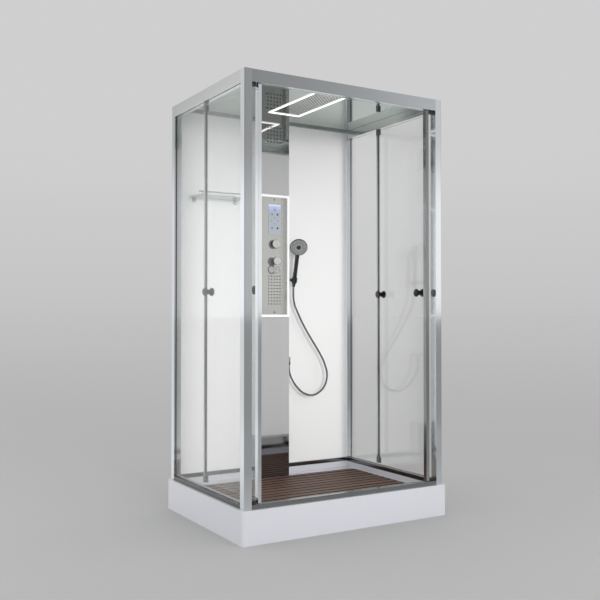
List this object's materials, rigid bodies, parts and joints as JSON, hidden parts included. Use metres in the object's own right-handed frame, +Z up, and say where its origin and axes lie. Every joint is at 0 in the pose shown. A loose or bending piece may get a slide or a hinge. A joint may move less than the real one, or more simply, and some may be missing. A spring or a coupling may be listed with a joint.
{
  "type": "shower cabin",
  "caption": "Rectangular shower cabin with two glass door leaves, a lit ceiling rain head, a steel column with mixer and jets, a hand shower, a glass shelf and a slatted deck.",
  "frame": {"origin": "on the floor under the middle of the tray", "axes": "+X along the long side to the right as seen from the doors, +Y from the doors to the rear wall, +Z up"},
  "size_m": [1.2, 0.9, 2.216],
  "materials": {
    "acrylic": "gloss",
    "zinc_steel": "satin",
    "black_plastic": "matte",
    "drain_plastic": "matte",
    "stainless": "brushed",
    "dark_wood": "oiled",
    "polished_aluminium": "polished",
    "cast_key": "satin",
    "clear_glass": "clear",
    "white_panel": "gloss",
    "mirror_roof": "polished",
    "light_cover": "opal",
    "polished_steel": "polished",
    "display_glass": "gloss",
    "jet_plastic": "gloss",
    "valve_brass": "cast",
    "chrome": "polished",
    "dark_chrome": "polished",
    "handset_chrome": "polished",
    "face_grey": "gloss",
    "hose_metal": "wound",
    "seal_clear": "clear",
    "copper_pipe": "drawn"
  },
  "bodies": {
    "cabin": {"shower_tray": "acrylic", "tray_frame": "zinc_steel", "levelling_feet": "zinc_steel", "drain_trap": "drain_plastic", "drain_cover": "stainless", "front_left_post": "polished_aluminium", "front_right_post": "polished_aluminium", "rear_left_post": "polished_aluminium", "rear_right_post": "polished_aluminium", "front_top_beam": "polished_aluminium", "front_sill": "polished_aluminium", "left_top_beam": "polished_aluminium", "left_bottom_rail": "polished_aluminium", "right_top_beam": "polished_aluminium", "right_bottom_rail": "polished_aluminium", "rear_top_beam": "polished_aluminium", "rear_bottom_rail": "polished_aluminium", "beam_end_keys": "cast_key", "left_side_glass": "clear_glass", "right_side_glass": "clear_glass", "rear_panels": "white_panel", "roof_panel": "mirror_roof", "ceiling_light": "light_cover", "rain_plate": "stainless", "rain_chamber": "drain_plastic", "column_shell": "polished_steel", "column_light": "light_cover", "control_plate": "stainless", "plate_screws": "dark_chrome", "display": "display_glass", "body_jets": "jet_plastic", "diverter_valve": "valve_brass", "mixer_valve": "valve_brass", "valve_collars": "dark_chrome", "handset_holder": "dark_chrome", "hose_nuts": "dark_chrome", "hose_outlet": "chrome", "shower_hose": "hose_metal", "riser_pipe": "copper_pipe", "jamb_seals": "seal_clear", "jamb_blocks": "black_plastic", "shelf_glass": "clear_glass", "shelf_rail": "chrome"},
    "left_door": {"left_hinge_stile": "polished_aluminium", "left_closing_stile": "polished_aluminium", "left_door_glass": "clear_glass", "left_edge_trim": "black_plastic", "left_door_knobs": "dark_chrome"},
    "right_door": {"right_hinge_stile": "polished_aluminium", "right_closing_stile": "polished_aluminium", "right_door_glass": "clear_glass", "right_edge_trim": "black_plastic", "right_door_knobs": "dark_chrome"},
    "deck": {"deck_slats": "dark_wood", "deck_battens": "dark_wood"},
    "diverter_dial": {"diverter_knob": "chrome"},
    "mixer_turning": {"mixer_hub": "dark_chrome"},
    "mixer_lifting": {"mixer_lever": "chrome"},
    "handset": {"hand_shower": "handset_chrome", "handset_face": "face_grey"}
  },
  "joints": [
    {"name": "left_door_hinge", "type": "hinge", "parent": "cabin", "child": "left_door", "pos_m": [-0.5, -0.412, 0], "axis": [0, 0, -1], "range_deg": [0, 95.4]},
    {"name": "right_door_hinge", "type": "hinge", "parent": "cabin", "child": "right_door", "pos_m": [0.5, -0.412, 0], "axis": [0, 0, 1], "range_deg": [0, 95.4]},
    {"name": "deck_lift", "type": "slide", "parent": "cabin", "child": "deck", "axis": [0, 0, 1], "range_m": [0, 0.06]},
    {"name": "diverter_turn", "type": "hinge", "parent": "cabin", "child": "diverter_dial", "pos_m": [0, 0.326, 1.457], "axis": [0, -1, 0], "range_deg": [-90, 90]},
    {"name": "mixer_turn", "type": "hinge", "parent": "cabin", "child": "mixer_turning", "pos_m": [0, 0.326, 1.359], "axis": [0, -1, 0], "range_deg": [-45, 45]},
    {"name": "mixer_lift", "type": "hinge", "parent": "mixer_turning", "child": "mixer_lifting", "pos_m": [0, 0.3123, 1.359], "axis": [-1, 0, 0], "range_deg": [0, 25]},
    {"name": "handset_turn", "type": "hinge", "parent": "cabin", "child": "handset", "pos_m": [0.154, 0.368, 1.256], "axis": [0.0518, -0.1478, 0.9877], "range_deg": [-60, 60]}
  ]
}
